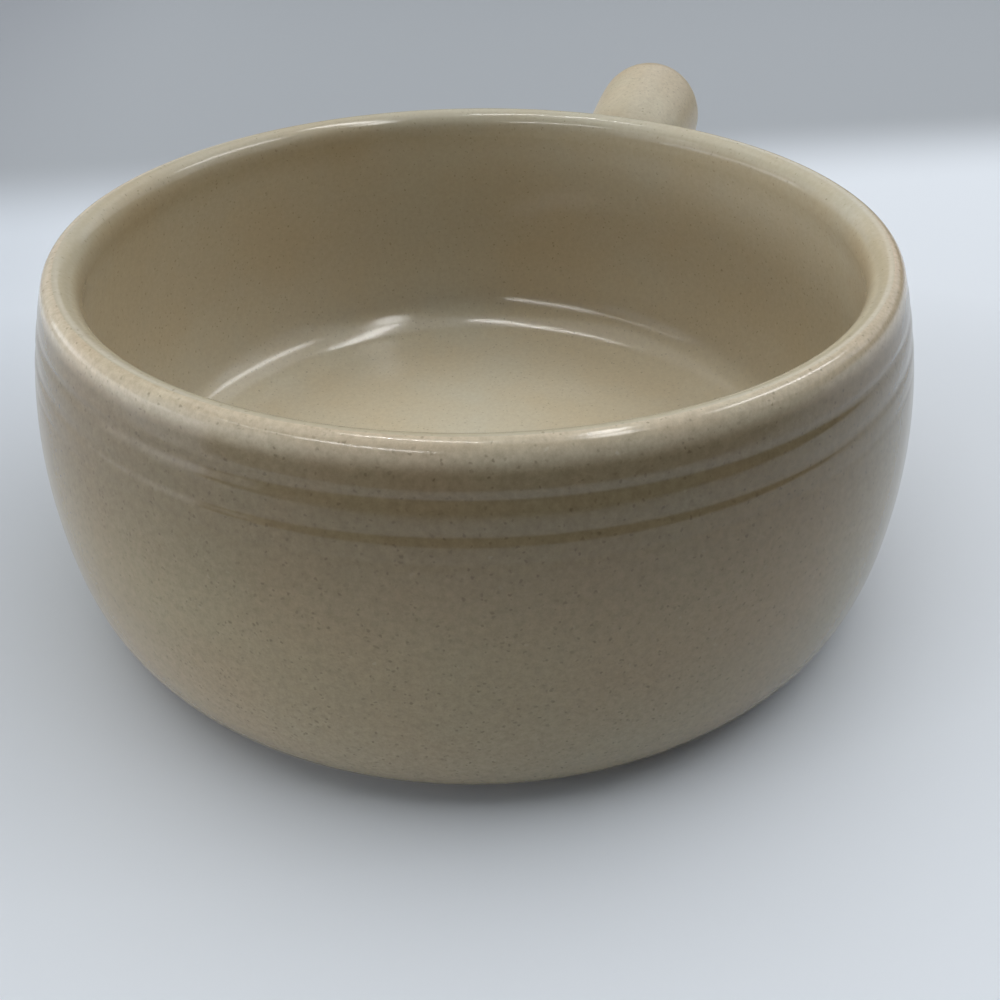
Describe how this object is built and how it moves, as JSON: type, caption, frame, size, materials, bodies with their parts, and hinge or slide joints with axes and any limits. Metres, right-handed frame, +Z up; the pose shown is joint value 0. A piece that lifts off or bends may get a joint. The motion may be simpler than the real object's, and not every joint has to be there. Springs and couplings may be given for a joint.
{
  "type": "handled soup bowl",
  "caption": "Round glazed stoneware soup bowl with a rolled rim, a bulged belly on a low foot ring and a hollow stick handle for carrying it hot.",
  "frame": {"origin": "centre of the flat of the foot ring, on the axis about which the bowl is turned, at the height of the table", "axes": "+Z up along the bowl's axis, +X towards the tip of the handle, +Y across; the part is symmetric about the XZ plane"},
  "size_m": [0.2174, 0.152, 0.0604],
  "materials": {
    "stoneware": "bare fired stoneware, matt and slightly gritty, shown only on the foot ring",
    "slip": "fired clay slip, under the glaze",
    "outside_glaze": "glossy oatmeal cream glaze with a fine brown speckle",
    "inside_glaze": "glossy cream glaze, warmer and slightly browner than outside, with a fine brown speckle"
  },
  "bodies": {
    "root": {"bowl_body": "stoneware", "stick_handle": "stoneware", "handle_slip_joint": "slip", "outside_glaze": "outside_glaze", "inside_glaze": "inside_glaze", "handle_glaze": "outside_glaze", "recess_glaze": "outside_glaze"}
  },
  "joints": []
}
